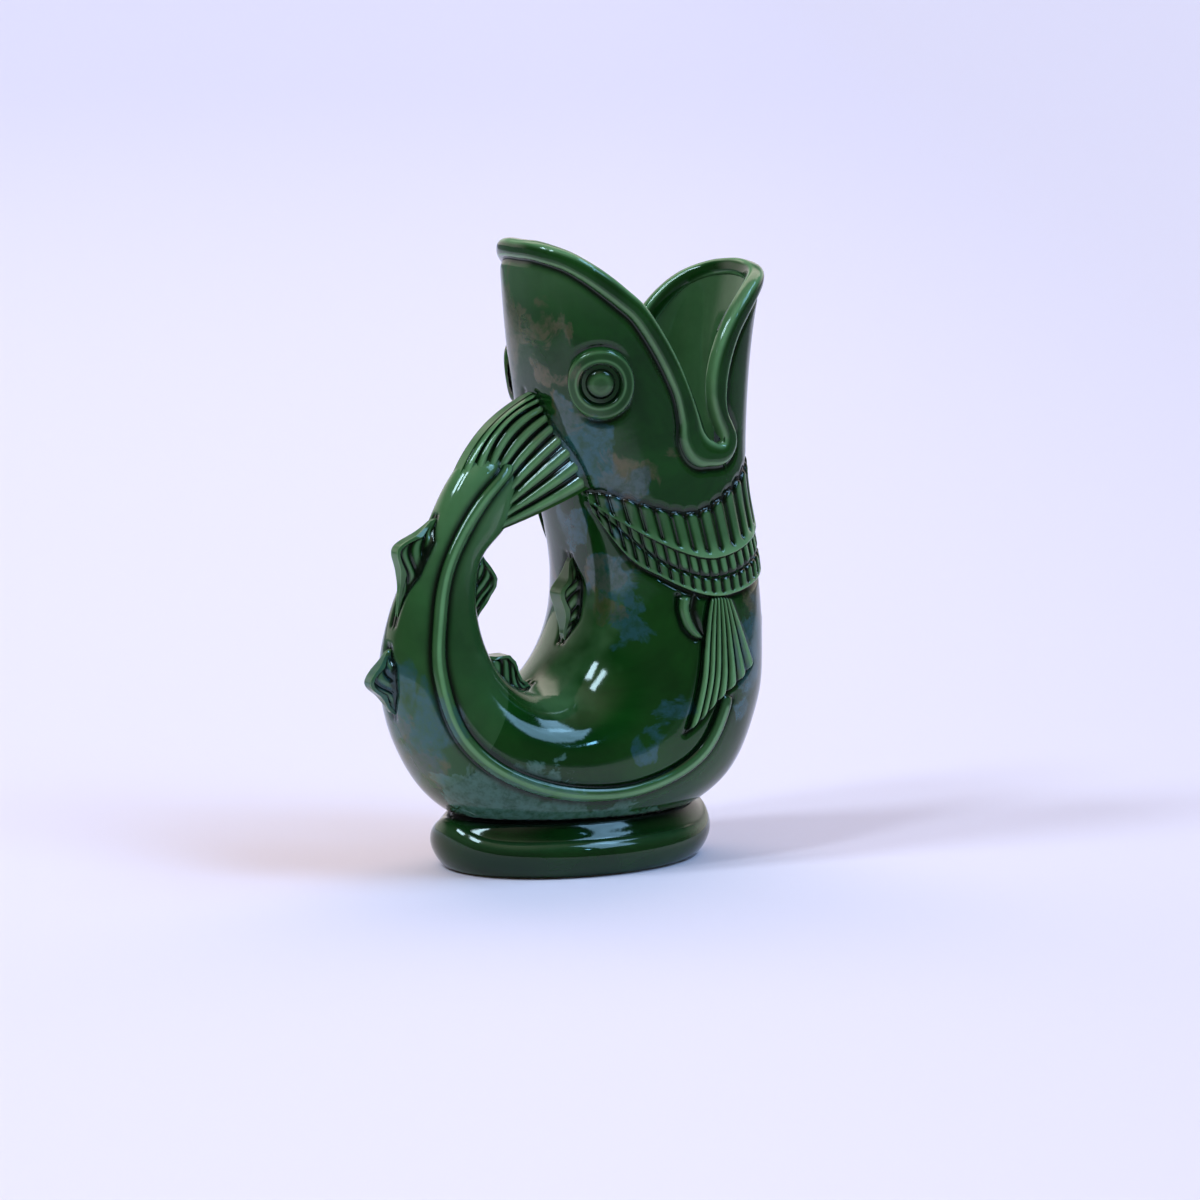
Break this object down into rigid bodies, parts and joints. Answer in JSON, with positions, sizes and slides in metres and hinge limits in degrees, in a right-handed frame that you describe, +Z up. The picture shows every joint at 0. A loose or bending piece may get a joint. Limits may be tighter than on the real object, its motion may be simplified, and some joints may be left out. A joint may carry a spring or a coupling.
{
  "type": "gurgle jug",
  "caption": "Glazed pottery jug in the shape of an open-mouthed fish standing on its curled belly on an oval foot, with its hollow tail bent up as the handle.",
  "frame": {"origin": "middle of the overall box, on the table that the foot ring stands on", "axes": "+Z up, the fish looks toward +X, its right side toward -Y"},
  "size_m": [0.177, 0.0924, 0.24],
  "materials": {
    "green_glaze": "deep green transparent glaze over moulded earthenware, high gloss",
    "bare_clay": "unglazed fired clay, matt"
  },
  "bodies": {
    "root": {"head_shell": "green_glaze", "belly_shell": "green_glaze", "tail_handle": "green_glaze", "tail_fan": "green_glaze", "lip_roll": "green_glaze", "foot": "green_glaze", "foot_ring": "bare_clay", "right_eye": "green_glaze", "left_eye": "green_glaze", "right_pupil": "green_glaze", "left_pupil": "green_glaze", "right_gill_flutes": "green_glaze", "left_gill_flutes": "green_glaze", "right_gill_beads": "green_glaze", "left_gill_beads": "green_glaze", "right_pectoral_fin": "green_glaze", "left_pectoral_fin": "green_glaze", "right_fin_lobe": "green_glaze", "left_fin_lobe": "green_glaze", "right_side_rib": "green_glaze", "left_side_rib": "green_glaze", "neck_fin": "green_glaze", "saddle_fin": "green_glaze", "inner_tail_fin": "green_glaze", "upper_tail_fin": "green_glaze", "lower_tail_fin": "green_glaze", "belly_fin": "green_glaze"}
  },
  "joints": []
}
